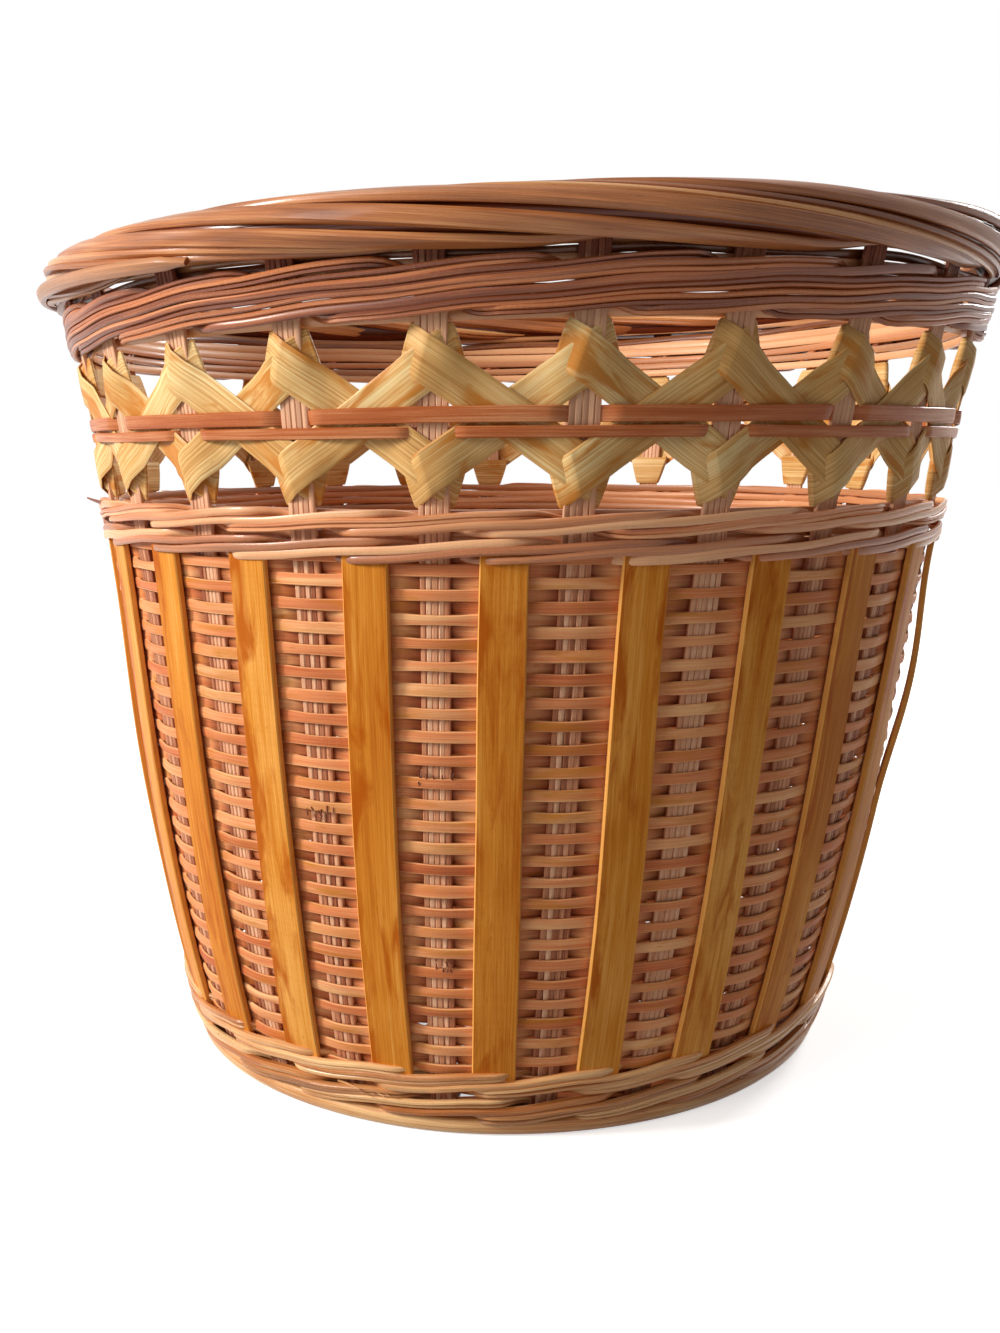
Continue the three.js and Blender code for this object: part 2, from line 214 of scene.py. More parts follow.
class Bundle:
    """Strands gathered into one mesh.

    The corner attribute grain holds the way along a strand, the way round it and a number of the
    strand's own. The attribute shade is above zero where shade is painted in, as in recesses, and
    below zero where light is painted in as a paler colour; on some strands it only sets a tone of
    their own.
    """

    def __init__(self):
        self.points = []
        self.corners = []
        self.sizes = []
        self.grain = []
        self.shade = []
        self.total = 0

    def strand(self, path, outward, section, closed=False, width=1.0, depth=1.0, roll=0.0,
               swing=None, dark=0.0):
        """A strip along a path. The section's y points outward, and its x lies across the path.

        swing is 1 where the strip is in front of what it crosses and -1 where it is behind: the
        face that lies against the other piece gets painted shade. dark darkens the whole strip, and
        below
        zero it makes it paler: painted shade and painted light on most strips, a tone of their own
        on some.
        """
        count = len(path)
        if closed:
            tangent = unit(np.roll(path, -1, 0) - np.roll(path, 1, 0))
        else:
            tangent = unit(np.gradient(path, axis=0))
        normal = unit(outward - (outward * tangent).sum(-1, keepdims=True) * tangent)
        side = np.cross(normal, tangent)
        turn = np.broadcast_to(roll, count)[:, None]
        rolled_side = side * np.cos(turn) + normal * np.sin(turn)
        rolled_normal = normal * np.cos(turn) - side * np.sin(turn)
        x = np.broadcast_to(width, count)[:, None] * section[:, 0]
        y = np.broadcast_to(depth, count)[:, None] * section[:, 1]
        across = rolled_side[:, None] * x[..., None]
        rings = path[:, None] + across + rolled_normal[:, None] * y[..., None]
        around = np.linalg.norm(np.diff(np.vstack([section, section[:1]]), axis=0), axis=1)
        shade = np.zeros(rings.shape[:2]) + np.broadcast_to(dark, count)[:, None]
        if swing is not None:
            shade = smooth(PAINTED_SHADE_FROM, 1.0, -swing[:, None] * np.sign(section[:, 1]))
        self.loft(rings, np.concatenate([[0], np.cumsum(around)]), closed, shade)

    def loft(self, rings, around, closed, shade):
        """A tube through rings of points.

        around is each point's distance on the way round the section, with the whole way at its end.
        """
        count, sides = rings.shape[:2]
        centres = rings.mean(1)
        ahead = np.vstack([centres[1:], centres[:1]])
        along = np.concatenate([[0], np.cumsum(np.linalg.norm(ahead - centres, axis=1))])
        steps = count if closed else count - 1
        i = np.arange(steps)[:, None]
        k = np.arange(sides)[None, :]
        here = i * sides
        after = ((i + 1) % count) * sides
        beside = (k + 1) % sides
        quads = np.stack([here + k, here + beside, after + beside, after + k], -1).reshape(-1, 4)
        lengths = np.stack([along[i], along[i], along[i + 1], along[i + 1]], -1)
        rounds = np.stack([around[k], around[k + 1], around[k + 1], around[k]], -1)
        lengths = np.broadcast_to(lengths, (steps, sides, 4)).reshape(-1)
        rounds = np.broadcast_to(rounds, (steps, sides, 4)).reshape(-1)
        mark = rng.uniform()
        self.points.append(rings.reshape(-1, 3))
        self.corners.append(quads.ravel() + self.total)
        self.sizes.append(np.full(len(quads), 4))
        self.grain.append(np.stack([lengths, rounds, np.full(len(lengths), mark)], -1))
        self.shade.append(shade.ravel()[quads.ravel()])
        if not closed:
            first, last = np.arange(sides)[::-1], np.arange(sides) + (count - 1) * sides
            ends = [(first, 0.0), (last, along[count - 1])]
            for cap, length in ends:
                self.corners.append(cap + self.total)
                self.sizes.append(np.array([sides]))
                spots = np.stack([np.full(sides, length), around[:sides], np.full(sides, mark)], -1)
                self.grain.append(spots)
                self.shade.append(np.zeros(sides))
        self.total += count * sides

    def piece(self, name, replaced, material, sharp=40.0):
        """The finished mesh, in place of the nodes that it replaces."""
        points = settle(np.concatenate(self.points))
        corners = np.concatenate(self.corners)
        sizes = np.concatenate(self.sizes)
        mesh = bpy.data.meshes.new(name)
        mesh.vertices.add(len(points))
        mesh.vertices.foreach_set("co", points.ravel())
        mesh.loops.add(len(corners))
        mesh.loops.foreach_set("vertex_index", corners)
        mesh.polygons.add(len(sizes))
        mesh.polygons.foreach_set("loop_start", np.concatenate([[0], np.cumsum(sizes)[:-1]]))
        mesh.update(calc_edges=True)
        grain = mesh.attributes.new("grain", "FLOAT_VECTOR", "CORNER")
        grain.data.foreach_set("vector", np.concatenate(self.grain).ravel())
        shade = mesh.attributes.new("shade", "FLOAT", "CORNER")
        shade.data.foreach_set("value", np.concatenate(self.shade))
        mesh.shade_smooth()
        mesh.set_sharp_from_angle(angle=math.radians(sharp))
        mesh.materials.append(material)
        made = bpy.data.objects.new(name, mesh)
        bpy.context.scene.collection.objects.link(made)
        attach(made, "root")
        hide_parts(*replaced)
        return made


# Materials

def colour(red, green, blue):
    """A colour as it shows on a screen, 0 to 255, as the shader's linear light."""
    screen = np.array([red, green, blue]) / 255
    linear = np.where(screen <= 0.04045, screen / 12.92, ((screen + 0.055) / 1.055) ** 2.4)
    return (*linear, 1.0)


class Shader:
    """A material's node tree, and short ways to add nodes to it."""

    def __init__(self, name):
        self.material = bpy.data.materials.new(name)
        self.material.use_nodes = True
        self.tree = self.material.node_tree
        self.tree.nodes.clear()

    def node(self, kind, inputs=None, **settings):
        made = self.tree.nodes.new(kind)
        for key, value in settings.items():
            setattr(made, key, value)
        for key, value in (inputs or {}).items():
            if isinstance(value, bpy.types.NodeSocket):
                self.tree.links.new(value, made.inputs[key])
            else:
                made.inputs[key].default_value = value
        return made

    def math(self, operation, a, b):
        return self.node("ShaderNodeMath", {0: a, 1: b}, operation=operation).outputs[0]

    def noise(self, vector, detail, roughness=0.55, distortion=0.0):
        inputs = {"Vector": vector, "Scale": 1.0, "Detail": detail, "Roughness": roughness}
        inputs["Distortion"] = distortion
        return self.node("ShaderNodeTexNoise", inputs).outputs[0]

    def ramp(self, factor, stops):
        made = self.node("ShaderNodeValToRGB", {0: factor})
        elements = made.color_ramp.elements
        for place, _ in stops[2:]:
            elements.new(place)
        for element, (place, value) in zip(elements, stops):
            element.position = place
            element.color = value
        return made.outputs[0]

    def mix(self, factor, a, b, blend="MIX"):
        inputs = {0: factor, 6: a, 7: b}
        made = self.node("ShaderNodeMix", inputs, data_type="RGBA", blend_type=blend)
        return made.outputs[2]

    def spread(self, value, low, high, to_low=0.0, to_high=1.0):
        """The value's range from low to high, spread over another range and held at its ends."""
        inputs = {0: value, 1: low, 2: high, 3: to_low, 4: to_high}
        return self.node("ShaderNodeMapRange", inputs).outputs[0]


def grey(value):
    return (value, value, value, 1.0)


# The colour that painted shade multiplies in, and how far it goes at most; some strands take it as
# a darker tone of their own
PAINTED_SHADE_AND_TONE = colour(134, 76, 60)
PAINTED_SHADE_AND_TONE_DEPTH = 0.92

# The patterns: cells for each metre along a strand and round it, and each strand's own shift
FIBRES = (45, 2600, 310)
BANDS_ALONG, BANDS_SHIFT = 12, 170
DRIFT = (22, 60, 90)
DRIFT_SHARE = 0.5
BLOTCHES = (34, 170, 230)
BLOTCH_LEVEL = 0.62
BLOTCH_DEPTH = 0.85
EDGE_BLOTCH_REACH = 5 * MM
EDGE_BLOTCH_GAIN = (0.11, -0.03)
SPECKS = (260, 1500, 410)
SPECK_LEVELS = (0.70, 0.78)
SPECK_DEPTH = 0.6
PALE_SIDE_BLEND = 0.1 * MM
STREAK_LEVELS = (0.3, 0.7)
DULLER, SHINIER = 0.12, 0.1
FIBRE_RELIEF, BAND_RELIEF = 0.7, 0.6
RELIEF = 0.12 * MM
RELIEF_STRENGTH = 0.55
COAT_ROUGHNESS = 0.16


def bamboo(name, dark, mid, pale, rough, coat, gloss, blotch=None, blotch_share=0.0, tone=0.5,
           stripes=0.45, stripe_scale=620, contrast=0.27, soft=0.1, pale_sides_and_highlights=(), edge_blotch=0.0):
    """Split bamboo: streaks along the strand, a tone of its own for each strand, and blotches.

    tone is how far strands differ, stripes the share of broad bands among the streaks, and soft
    the width of a blotch's border. pale_sides_and_highlights are a splint's paler cut sides, partly
    painted highlight on the lit side, and near edge_blotch, a place on the way round the section,
    there are more blotches.
    """
    shader = Shader(name)
    grain = shader.node("ShaderNodeAttribute", attribute_name="grain").outputs["Vector"]
    parts = shader.node("ShaderNodeSeparateXYZ", {0: grain})
    along, around, mark = parts.outputs

    def stretched(per_along, per_around, shift):
        x = shader.math("MULTIPLY", along, per_along)
        y = shader.math("MULTIPLY", around, per_around)
        z = shader.math("MULTIPLY", mark, shift)
        return shader.node("ShaderNodeCombineXYZ", {0: x, 1: y, 2: z}).outputs[0]

    own = shader.node("ShaderNodeTexWhiteNoise", {"W": mark}, noise_dimensions="1D").outputs[0]
    fibres = shader.noise(stretched(*FIBRES), detail=4, roughness=0.65)
    bands = shader.noise(stretched(BANDS_ALONG, stripe_scale, BANDS_SHIFT), detail=3)
    drift = shader.noise(stretched(*DRIFT), detail=2)
    fine = shader.math("MULTIPLY", fibres, 1 - stripes)
    streak = shader.math("ADD", fine, shader.math("MULTIPLY", bands, stripes))
    own_tone = shader.math("MULTIPLY", shader.math("SUBTRACT", own, 0.5), tone)
    level = shader.math("ADD", streak, own_tone)
    drifted = shader.math("MULTIPLY", shader.math("SUBTRACT", drift, 0.5), DRIFT_SHARE)
    level = shader.math("ADD", level, drifted)
    base = shader.ramp(level, [(0.5 - contrast, dark), (0.5, mid), (0.5 + contrast, pale)])
    if blotch:
        patches = shader.noise(stretched(*BLOTCHES), detail=4, roughness=0.6, distortion=0.6)
        if edge_blotch:
            edge_end = edge_blotch + EDGE_BLOTCH_REACH
            near = shader.spread(around, edge_blotch, edge_end, *EDGE_BLOTCH_GAIN)
            patches = shader.math("ADD", patches, near)
        blotch_from = BLOTCH_LEVEL - blotch_share
        mask = shader.spread(patches, blotch_from, blotch_from + soft, 0.0, BLOTCH_DEPTH)
        base = shader.mix(mask, base, blotch)
    # Paler cut sides; the much paler one is partly a painted highlight
    for start, end, share in pale_sides_and_highlights:
        rise = shader.spread(around, start - PALE_SIDE_BLEND, start)
        fall = shader.spread(around, end - PALE_SIDE_BLEND, end, share, 0.0)
        base = shader.mix(shader.math("MULTIPLY", rise, fall), base, pale)
    specks = shader.noise(stretched(*SPECKS), detail=2, roughness=0.5)
    speck_mask = shader.spread(specks, *SPECK_LEVELS, 0.0, SPECK_DEPTH)
    base = shader.mix(speck_mask, base, dark)
    # Painted light where the shade attribute is below zero, painted shade where it is above
    shade = shader.node("ShaderNodeAttribute", attribute_name="shade").outputs["Fac"]
    base = shader.mix(shader.spread(shade, 0.0, -1.0), base, pale)
    painted_shade_and_tone = shader.spread(shade, 0.0, 1.0, 0.0, PAINTED_SHADE_AND_TONE_DEPTH)
    base = shader.mix(painted_shade_and_tone, base, PAINTED_SHADE_AND_TONE, "MULTIPLY")
    uneven = shader.spread(streak, *STREAK_LEVELS, rough + DULLER, rough - SHINIER)
    fibre_ridges = shader.math("MULTIPLY", fibres, FIBRE_RELIEF)
    band_ridges = shader.math("MULTIPLY", bands, BAND_RELIEF)
    ridges = shader.math("ADD", fibre_ridges, band_ridges)
    relief = {"Strength": RELIEF_STRENGTH, "Distance": RELIEF, "Height": ridges}
    bump = shader.node("ShaderNodeBump", relief)
    inputs = {
        "Base Color": base,
        "Roughness": uneven,
        "Specular IOR Level": gloss,
        "Coat Weight": coat,
        "Coat Roughness": COAT_ROUGHNESS,
        "Normal": bump.outputs[0],
    }
    surface = shader.node("ShaderNodeBsdfPrincipled", inputs)
    output = shader.node("ShaderNodeOutputMaterial")
    shader.tree.links.new(surface.outputs[0], output.inputs[0])
    return shader.material


def cut_sides_and_highlight(width, depth, edge, share, other_share):
    """Where a splint's two cut sides lie on the way round its section, and how pale each is: paler
    as cut sides, the paler one partly a painted highlight.
    """
    first = (width - 2 * edge, width + depth - 1.2 * edge, share)
    second = (2 * width + depth - 3.2 * edge, 2 * (width + depth), other_share)
    return first, second


SLAT_EDGE = 0.34 * MM
# The slat's left side is much paler than its right: cut side in part, and in part a painted
# highlight from the light on the left
SLAT_SIDES_AND_HIGHLIGHT = cut_sides_and_highlight(SLAT_WIDTH, SLAT_DEPTH, SLAT_EDGE, 0.8, 0.35)
ROW_HEIGHT = 3.16 * MM
ROW_DEPTH = 0.85 * MM
ROW_EDGE = 0.22 * MM
# The row's top side is a little paler than its lower one: cut side in part, and in part a painted
# highlight from the light above
ROW_SIDES_AND_HIGHLIGHT = cut_sides_and_highlight(ROW_HEIGHT, ROW_DEPTH, ROW_EDGE, 0.6, 0.5)

MATERIALS = {
    "slat": bamboo("slat_bamboo", colour(184, 98, 22), colour(218, 138, 46), colour(246, 182, 98),
                   rough=0.45, coat=0.02, gloss=0.05, blotch=colour(180, 84, 6), blotch_share=0.115,
                   tone=0.25, soft=0.16, pale_sides_and_highlights=SLAT_SIDES_AND_HIGHLIGHT, edge_blotch=SLAT_SIDES_AND_HIGHLIGHT[0][1]),
    "stake": bamboo("stake_bamboo", colour(140, 74, 48), colour(212, 146, 108),
                    colour(240, 192, 156), rough=0.55, coat=0.03, gloss=0.15),
    "weave": bamboo("weave_bamboo", colour(186, 94, 52), colour(224, 138, 88),
                    colour(246, 190, 134), rough=0.5, coat=0.04, gloss=0.15,
                    blotch=colour(196, 122, 34), blotch_share=0.12, tone=0.35, soft=0.2,
                    pale_sides_and_highlights=ROW_SIDES_AND_HIGHLIGHT),
    "wale": bamboo("wale_bamboo", colour(114, 54, 26), colour(200, 114, 60), colour(242, 184, 134),
                   rough=0.46, coat=0.3, gloss=0.35, tone=0.65, contrast=0.32),
    "ribbon": bamboo("ribbon_bamboo", colour(172, 116, 58), colour(220, 172, 106),
                     colour(250, 230, 176), rough=0.48, coat=0.04, gloss=0.12,
                     blotch=colour(198, 122, 40), blotch_share=0.1, tone=0.12, stripes=0.6,
                     stripe_scale=2100, contrast=0.25),
    "weaver": bamboo("weaver_bamboo", colour(142, 62, 22), colour(182, 96, 46),
                     colour(226, 162, 114), rough=0.42, coat=0.12, gloss=0.15, tone=0.3),
    "border": bamboo("border_bamboo", colour(112, 58, 28), colour(184, 112, 62),
                     colour(230, 170, 112), rough=0.38, coat=0.34, gloss=0.2, tone=0.55),
    "base": bamboo("base_bamboo", colour(116, 58, 24), colour(190, 114, 54),
                   colour(248, 204, 146), rough=0.42, coat=0.2, gloss=0.2, tone=0.55),
}


# Slats

SLAT_STEPS = 44
BEHIND_SLAT = 0.1 * MM
SLAT_CROWN = 0.12 * MM
SLAT_SWAY = 0.25 * MM
SLAT_UNEVEN = 0.012
SLAT_TWIST = 0.02


def slat(node, bow, low=0.0, high=1.0):
    """An upright slat that stands off the weave between two shares of its height."""
    bundle = Bundle()
    angle = angle_of(node)
    turn = np.linspace(0, 1, SLAT_STEPS)
    z = SLAT_FOOT + (SLAT_TOP - SLAT_FOOT) * turn
    stands_off = np.sin(math.pi * np.clip((turn - low) / (high - low), 0, 1)) ** 2
    proud = SLAT_DEPTH / 2 - BEHIND_SLAT + bow * stands_off
    sway = wander(turn, SLAT_SWAY, (0.5, 1, 1.5)) / wall(z)
    width = 1 + wander(turn, SLAT_UNEVEN, (0.5, 1, 2))
    roll = wander(turn, SLAT_TWIST, (0.5, 1))
    section = splint(SLAT_WIDTH, SLAT_DEPTH, SLAT_EDGE, SLAT_CROWN, 6)
    path = on_wall(angle + sway, proud, z)
    bundle.strand(path, wall_outward(angle, z), section, width=width, roll=roll)
    return bundle.piece(node + "_bamboo", [node], MATERIALS["slat"], sharp=30)


# How far a loose slat bows out, and between which shares of its height
LOOSE_SLATS = {"slat_23": (2.3 * MM, 0.42, 0.97), "slat_13": (0.8 * MM, 0.2, 0.9)}
SLAT_BOWS_MM = (0.1, 0.5)

for slat_node in SLATS:
    slat(slat_node, *LOOSE_SLATS.get(slat_node, (rng.uniform(*SLAT_BOWS_MM) * MM,)))


# Stakes: bundles of splints side by side, with painted light in the open band
# and painted shade inside the border

BORDER_LOW, BORDER_HIGH = levels("border")
SPLINTS_IN_STAKE = 5
SPLINT_GAP = 0.04 * MM
SPLINT_WIDTHS = (0.97, 1.06)
SPLINT_DEPTH = STAKE_DEPTH * 0.86
SPLINT_SWAY = 0.05 * MM
SPLINT_WAVE = 0.06 * MM
SPLINT_TWIST = 0.1
STAKE_STEPS = 60
STAKE_SUNK = 0.3 * MM
SUNK_OVER = 8 * MM
BAND_PAINTED_LIGHT = 0.6
PAINTED_LIGHT_OVER = 6 * MM
PAINTED_SHADE_OVER = 4 * MM

# The heights at which a stake has broken splints
FRAYED = {"stake_18": (104 * MM, 52 * MM), "stake_17": (92 * MM,)}
FRAYED_ENDS = 9


def frayed(bundle, angle, height):
    """Short dark ends of broken splints that stand off the weave."""
    turn = np.linspace(0, 1, 6)
    for _ in range(FRAYED_ENDS):
        across = rng.uniform(-0.6, 0.6) * STAKE_WIDTH + rng.uniform(-0.5, 0.5) * MM * turn
        z = height + rng.uniform(-1.5, 1.5) * MM + rng.uniform(1.0, 2.6) * MM * turn
        proud = 0.3 * MM + rng.uniform(0.2, 0.6) * MM * turn
        path = on_wall(angle + across / wall(z), proud, z)
        tone = rng.uniform(0.5, 1.0)
        section = oval(0.5 * MM, 0.4 * MM)
        bundle.strand(path, wall_outward(angle, z), section, width=1 - 0.5 * turn, dark=tone)


def stake(node):
    bundle = Bundle()
    angle = angle_of(node)
    pitch = (STAKE_WIDTH + SPLINT_GAP) / SPLINTS_IN_STAKE
    turn = np.linspace(0, 1, STAKE_STEPS)
    z = STAKE_FOOT + (STAKE_TIP - STAKE_FOOT) * turn
    for i in range(SPLINTS_IN_STAKE):
        sway = wander(turn, SPLINT_SWAY, (1, 2, 5))
        across = (i - (SPLINTS_IN_STAKE - 1) / 2) * pitch + sway
        proud = -STAKE_DEPTH / 2 - STAKE_SUNK * smooth(SLAT_TOP, SLAT_TOP - SUNK_OVER, z)
        proud = proud + wander(turn, SPLINT_WAVE, (1, 3, 6))
        width = (pitch - SPLINT_GAP) * rng.uniform(*SPLINT_WIDTHS)
        section = oval(width, SPLINT_DEPTH, 8, 0.5)
        path = on_wall(angle + across / wall(z), proud, z)
        # dark paints shade on the splints inside the border and light on them in the open band
        dark = (1 + BAND_PAINTED_LIGHT) * smooth(BORDER_LOW - PAINTED_SHADE_OVER, BORDER_LOW, z)
        dark = dark - BAND_PAINTED_LIGHT * smooth(SLAT_TOP, SLAT_TOP + PAINTED_LIGHT_OVER, z)
        roll = wander(turn, SPLINT_TWIST, (1, 2))
        bundle.strand(path, wall_outward(angle, z), section, roll=roll, dark=dark)
    for height in FRAYED.get(node, ()):
        frayed(bundle, angle, height)
    return bundle.piece(node + "_splints", [node], MATERIALS["stake"])


for stake_node in STAKES:
    stake(stake_node)


# Woven wall: weavers in front of one stake and behind the next

ROW_PITCH = 3.0 * MM
WEAVE_MIDDLE = -1.1 * MM
WEAVE_SWING = 1.18 * MM
FRONT_NARROWER = 0.13
ROW_MEMORY = 0.85
ROW_DRIFT = 0.07 * MM
ROW_STEP = 0.06 * MM
ROW_WIDTHS = (0.99, 1.03)
ROW_CROWN = 0.16 * MM
SWING_UNEVEN = 0.08 * MM
FRONT_UNEVEN = 0.09
ROW_TWIST = 0.1
ROW_SHARPNESS = 2.8
SETTLED_ROWS = 5


def bay_wave(bays, starts_in_front, sharpness):
    """1 in front of a stake and -1 behind the next, for places round the ring counted in bays."""
    wave = np.cos(math.pi * bays)
    sign = 1 if starts_in_front else -1
    return sign * np.sign(wave) * np.abs(wave) ** sharpness


def per_stake(bays, size):
    """A random amount for each stake, blended between them."""
    values = rng.normal(0, size, BAYS)
    return np.interp(bays, np.arange(BAYS + 1), np.append(values, values[0]))


def woven_wall():
    bundle = Bundle()
    bottom, top = levels("body_weave")
    rows = round((top - bottom) / ROW_PITCH)
    bays, turn, angle = ring(16)
    drift = np.zeros(len(bays))
    for row in range(rows):
        swing = bay_wave(bays, row % 2 == 0, ROW_SHARPNESS)
        z = bottom + (row + 0.5) * (top - bottom) / rows
        drift = ROW_MEMORY * drift + wander(turn, ROW_DRIFT, (1, 2, 5)) + per_stake(bays, ROW_STEP)
        z = z + drift * smooth(0, SETTLED_ROWS, min(row, rows - 1 - row))
        proud = WEAVE_MIDDLE + (WEAVE_SWING + per_stake(bays, SWING_UNEVEN)) * swing
        height = ROW_HEIGHT * rng.uniform(*ROW_WIDTHS)
        section = splint(height, ROW_DEPTH, ROW_EDGE, ROW_CROWN, 3)
        width = 1 - FRONT_NARROWER * swing
        width = width + per_stake(bays, FRONT_UNEVEN) * smooth(0.2, 0.8, swing)
        roll = per_stake(bays, ROW_TWIST)
        path = on_wall(angle, proud, z)
        # swing paints shade on the faces of the rows that lie behind a stake
        bundle.strand(path, wall_outward(angle, z), section, True, width, roll=roll, swing=swing)
    return bundle.piece("woven_wall", ["body_weave"], MATERIALS["weave"])


woven_wall()


# Wales: rods twined one over another, each rising past several stakes and diving behind the next

TURN = 0.35
STEP_SHARE = 0.5
DIVE_NEAR, DIVE_FAR = 0.12, 0.48
SPLIT_SHARE = 0.6
SPLIT_APART = 0.26
SPLIT_HEIGHT = 0.58
SPLIT_PROUD = 0.15 * MM
ROD_HEIGHTS = (0.9, 1.12)
ROD_DEPTHS = (0.9, 1.1)
ROD_ARCH = 0.3 * MM
ROD_WAVE = 0.12 * MM
ROD_TONES = (-0.12, 0.12)
BEHIND_STAKE = STAKE_DEPTH + 0.9 * MM
INSIDE = STAKE_DEPTH + 1.9 * MM
INNER_HEIGHTS = (0.85, 1.1)
INNER_DEPTH = 1.3 * MM
INNER_TONES = (-0.15, 0.15)
LOOSE_FROM = 1.5 * MM


def stepped(phase):
    """A rise of one for each stake passed, part slope and part step over the next rod's start."""
    stake_passed = np.round(phase)
    step = stake_passed - 0.5 + smooth(-TURN, TURN, phase - stake_passed)
    return (1 - STEP_SHARE) * phase + STEP_SHARE * step


def wale_rods(bundle, bottom, top, courses, rods, thickness, front, uneven, dark=0.0):
    """Courses of rods, each starting one stake after the last. rods has to divide the stakes."""
    course = (top - bottom) / courses
    first, last = stepped(TURN), stepped(rods - TURN)
    pitch = course / (last - first + 1)
    bays, turn, angle = ring(14)
    for row in range(courses):
        shift = wander(turn, uneven, (2, 3, 5, 7))
        for rod in range(rods):
            phase = (bays - rod) % rods
            near = np.minimum(phase, rods - phase)
            back = (phase + TURN) % rods / (2 * TURN)
            rise = np.clip(phase, TURN, rods - TURN)
            falling = last + (first - last) * smooth(0, 1, back)
            climb = np.where(back < 1, falling, stepped(rise)) - first
            in_front = smooth(DIVE_NEAR, DIVE_FAR, near)
            low = bottom + row * course + pitch / 2
            z = low + pitch * climb + shift + wander(turn, uneven, (3, 5, 8, 13))
            arch = np.sin(math.pi * (rise - TURN) / (rods - 2 * TURN)) * in_front
            proud = -BEHIND_STAKE + (front + BEHIND_STAKE) * in_front
            proud = proud + ROD_ARCH * arch + wander(turn, ROD_WAVE, (4, 7))
            height = pitch * rng.uniform(*ROD_HEIGHTS)
            deep = thickness * rng.uniform(*ROD_DEPTHS)
            for side in (-1, 1) if rng.uniform() < SPLIT_SHARE else (0,):
                slip = SPLIT_APART * side * height * (1 + wander(turn, 0.2, (5, 9, 14)))
                section = oval(height * (SPLIT_HEIGHT if side else 1.0), deep)
                path = on_wall(angle, proud + SPLIT_PROUD * side, z + slip)
                width = 1 + wander(turn, 0.1, (5, 9, 14))
                roll = wander(turn, 0.15, (2, 5, 9))
                tone = dark + rng.uniform(*ROD_TONES)
                out = wall_outward(angle, z)
                bundle.strand(path, out, section, True, width, roll=roll, dark=tone)


def inner_rods(bundle, bottom, top, rods, inward, dark, uneven=0.25 * MM):
    """The rods that show on the inside, behind the stakes."""
    _, turn, angle = ring(8)
    pitch = (top - bottom) / rods
    for rod in range(rods):
        z = bottom + (rod + 0.5) * pitch + wander(turn, uneven, (3, 5, 8, 13))
        section = oval(pitch * rng.uniform(*INNER_HEIGHTS), INNER_DEPTH)
        path = on_wall(angle, -inward + wander(turn, ROD_WAVE, (4, 7)), z)
        tone = dark + rng.uniform(*INNER_TONES)
        roll = wander(turn, 0.15, (3, 7))
        bundle.strand(path, wall_outward(angle, z), section, True, roll=roll, dark=tone)


def loose_end(bundle, angle, z, stretch, rise, reach, wide):
    """A rod's end that has come out of the weave, thinning to its tip."""
    turn = np.linspace(0, 1, 14)
    angles = angle + stretch * turn
    heights = z + rise * turn ** 2
    path = on_wall(angles, LOOSE_FROM + (reach - LOOSE_FROM) * turn ** 1.6, heights)
    section = oval(wide, wide * 0.6)
    taper = 1 - 0.7 * turn
    bundle.strand(path, wall_outward(angles, heights), section, width=taper, depth=taper)


def upper_wale():
    bundle = Bundle()
    bottom, top = levels("upper_wale")
    thickness, front, uneven = 1.5 * MM, 1.6 * MM, 0.35 * MM
    wale_rods(bundle, bottom, top, 1, 6, thickness, front, uneven, dark=0.12)
    # The inner rods are painted paler: painted light on the inside of the wall
    inner_rods(bundle, bottom, top + 0.5 * MM, 5, INSIDE, dark=-0.35)
    return bundle.piece("upper_wale_rods", ["upper_wale"], MATERIALS["wale"])


def lower_wale():
    bundle = Bundle()
    bottom, top = levels("lower_wale")
    thickness, front, uneven = 1.4 * MM, 2.1 * MM, 0.24 * MM
    wale_rods(bundle, bottom, top, 2, 3, thickness, front, uneven, dark=-0.08)
    # The inner rods are painted paler: painted light on the inside of the wall
    inner_rods(bundle, bottom, top, 5, INSIDE, dark=-0.2)
    stretch, rise, reach, wide = -0.1, 1.5 * MM, 6 * MM, 1.9 * MM
    loose_end(bundle, math.radians(205), top - 1.5 * MM, stretch, rise, reach, wide)
    return bundle.piece("lower_wale_rods", ["lower_wale"], MATERIALS["wale"])


FOOT_ROD_HEIGHT = 4.9 * MM
FOOT_ROD_DEPTH = 3.8 * MM
FOOT_ROD_LIFT = 0.25 * MM
FOOT_ROD_PROUD = 0.6 * MM
FOOT_OVERLAP = 0.4 * MM
FOOT_LOOSE_ENDS = 5


def base_band():
    bundle = Bundle()
    bottom, top = levels("base_band")
    _, turn, angle = ring(8)
    z = bottom + FOOT_ROD_HEIGHT / 2 + FOOT_ROD_LIFT
    z = z + np.abs(wander(turn, 0.15 * MM, (2, 3, 5)))
    proud = FOOT_ROD_PROUD + wander(turn, 0.25 * MM, (2, 3, 5, 7))
    section = oval(FOOT_ROD_HEIGHT, FOOT_ROD_DEPTH, 14)
    bundle.strand(on_wall(angle, proud, z), wall_outward(angle, z), section, True)
    rods_low = bottom + FOOT_ROD_HEIGHT - FOOT_OVERLAP
    thickness, front, uneven = 2.0 * MM, 1.9 * MM, 0.25 * MM
    wale_rods(bundle, rods_low, top, 2, 3, thickness, front, uneven)
    for i in range(FOOT_LOOSE_ENDS):
        reach, rise = rng.uniform(3, 5) * MM, rng.uniform(-1.5, 1.5) * MM
        loose_end(bundle, math.radians(244 + 1.2 * i), 12 * MM, 0.08, rise, reach, 0.7 * MM)
    return bundle.piece("base_band_rods", ["base_band"], MATERIALS["base"])


upper_wale()
lower_wale()
base_band()


# Zigzag ribbons, folded round a stake at every peak and trough

